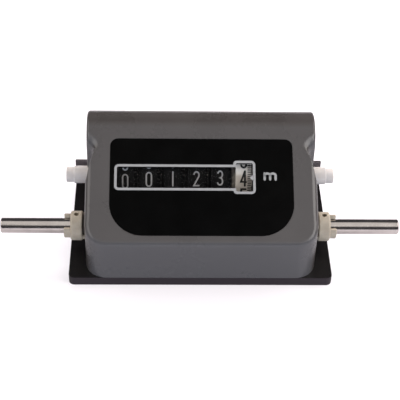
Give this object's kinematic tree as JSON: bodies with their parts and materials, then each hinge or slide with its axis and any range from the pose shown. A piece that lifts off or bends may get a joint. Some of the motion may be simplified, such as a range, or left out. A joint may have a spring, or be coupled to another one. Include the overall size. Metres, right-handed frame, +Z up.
{
  "type": "mechanical counter",
  "caption": "Base-mounted mechanical length counter: grey sloping housing, window with number wheels, drive shaft through both sides and white reset stubs.",
  "frame": {"origin": "middle of the base plate's underside, at the middle of the whole counter's plan", "axes": "+X along the drive shaft towards the right-hand end as the numbers are read, +Y from the front wall to the back, +Z up"},
  "size_m": [0.18, 0.07, 0.0537],
  "materials": {
    "base": "black, satin",
    "housing": "fine matt, moulded",
    "panel": "gloss black",
    "lens": "clear, polished",
    "print": "printed light grey",
    "plated_steel": "zinc plated",
    "spring_steel": "blued spring steel",
    "screws": "zinc plated",
    "shaft_steel": "ground and polished",
    "bush": "natural cream moulding",
    "stub": "translucent white moulding",
    "brass": "cut, bright",
    "black_wheel": "matt black moulding",
    "white_wheel": "ivory moulding",
    "pinion": "natural white moulding"
  },
  "bodies": {
    "frame": {"base_plate": "base", "housing": "housing", "front_panel": "panel", "window_lens": "lens", "window_outline": "print", "left_side_plate": "plated_steel", "right_side_plate": "plated_steel", "front_tie_bar": "plated_steel", "back_tie_bar": "plated_steel", "tie_bar_screws": "screws", "frame_screws": "screws", "housing_screws": "screws", "left_bush": "bush", "right_bush": "bush", "idler_rod": "plated_steel", "detent_spring": "spring_steel", "pinion_shaft": "plated_steel"},
    "drive": {"drive_shaft": "shaft_steel", "left_shaft_ring": "spring_steel", "right_shaft_ring": "spring_steel", "drive_gear": "brass"},
    "idler": {"idler_gear": "brass"},
    "reset": {"reset_shaft": "shaft_steel", "left_reset_stub": "stub", "right_reset_stub": "stub", "left_spacer": "plated_steel", "right_spacer": "plated_steel", "detent_disc": "plated_steel"},
    "units_wheel": {"number_wheel_6": "white_wheel", "units_gear": "brass"},
    "wheel_1": {"number_wheel_1": "black_wheel"},
    "wheel_2": {"number_wheel_2": "black_wheel"},
    "wheel_3": {"number_wheel_3": "black_wheel"},
    "wheel_4": {"number_wheel_4": "black_wheel"},
    "wheel_5": {"number_wheel_5": "black_wheel"},
    "pinion_1": {"transfer_pinion_1": "pinion"},
    "pinion_2": {"transfer_pinion_2": "pinion"},
    "pinion_3": {"transfer_pinion_3": "pinion"},
    "pinion_4": {"transfer_pinion_4": "pinion"},
    "pinion_5": {"transfer_pinion_5": "pinion"}
  },
  "joints": [
    {"name": "drive_turn", "type": "hinge", "parent": "frame", "child": "drive", "pos_m": [0, -0.0135, 0.016], "axis": [1, 0, 0], "continuous": true},
    {"name": "idler_turn", "type": "hinge", "parent": "frame", "child": "idler", "pos_m": [0, -0.00205, 0.0124], "axis": [1, 0, 0], "continuous": true},
    {"name": "units_wheel_turn", "type": "hinge", "parent": "frame", "child": "units_wheel", "pos_m": [0, 0.0077, 0.028], "axis": [1, 0, 0], "continuous": true},
    {"name": "reset_turn", "type": "hinge", "parent": "frame", "child": "reset", "pos_m": [0, 0.0077, 0.028], "axis": [1, 0, 0], "continuous": true},
    {"name": "wheel_5_turn", "type": "hinge", "parent": "frame", "child": "wheel_5", "pos_m": [0, 0.0077, 0.028], "axis": [1, 0, 0], "continuous": true},
    {"name": "wheel_4_turn", "type": "hinge", "parent": "frame", "child": "wheel_4", "pos_m": [0, 0.0077, 0.028], "axis": [1, 0, 0], "continuous": true},
    {"name": "wheel_3_turn", "type": "hinge", "parent": "frame", "child": "wheel_3", "pos_m": [0, 0.0077, 0.028], "axis": [1, 0, 0], "continuous": true},
    {"name": "wheel_2_turn", "type": "hinge", "parent": "frame", "child": "wheel_2", "pos_m": [0, 0.0077, 0.028], "axis": [1, 0, 0], "continuous": true},
    {"name": "wheel_1_turn", "type": "hinge", "parent": "frame", "child": "wheel_1", "pos_m": [0, 0.0077, 0.028], "axis": [1, 0, 0], "continuous": true},
    {"name": "pinion_5_turn", "type": "hinge", "parent": "frame", "child": "pinion_5", "pos_m": [0, 0.01859, 0.01711], "axis": [1, 0, 0], "continuous": true},
    {"name": "pinion_4_turn", "type": "hinge", "parent": "frame", "child": "pinion_4", "pos_m": [0, 0.01859, 0.01711], "axis": [1, 0, 0], "continuous": true},
    {"name": "pinion_3_turn", "type": "hinge", "parent": "frame", "child": "pinion_3", "pos_m": [0, 0.01859, 0.01711], "axis": [1, 0, 0], "continuous": true},
    {"name": "pinion_2_turn", "type": "hinge", "parent": "frame", "child": "pinion_2", "pos_m": [0, 0.01859, 0.01711], "axis": [1, 0, 0], "continuous": true},
    {"name": "pinion_1_turn", "type": "hinge", "parent": "frame", "child": "pinion_1", "pos_m": [0, 0.01859, 0.01711], "axis": [1, 0, 0], "continuous": true}
  ],
  "couplings": [
    {"joint": "idler_turn", "follows": "drive_turn", "ratio": -1.1429},
    {"joint": "units_wheel_turn", "follows": "drive_turn", "ratio": 0.5},
    {"joint": "wheel_5_turn", "follows": "drive_turn", "ratio": 0.05},
    {"joint": "wheel_4_turn", "follows": "drive_turn", "ratio": 0.005},
    {"joint": "wheel_3_turn", "follows": "drive_turn", "ratio": 0.0005},
    {"joint": "wheel_2_turn", "follows": "drive_turn", "ratio": 0.00005},
    {"joint": "wheel_1_turn", "follows": "drive_turn", "ratio": 0.000005},
    {"joint": "pinion_5_turn", "follows": "drive_turn", "ratio": -0.125},
    {"joint": "pinion_4_turn", "follows": "drive_turn", "ratio": -0.0125},
    {"joint": "pinion_3_turn", "follows": "drive_turn", "ratio": -0.00125},
    {"joint": "pinion_2_turn", "follows": "drive_turn", "ratio": -0.000125},
    {"joint": "pinion_1_turn", "follows": "drive_turn", "ratio": -0.0000125}
  ]
}
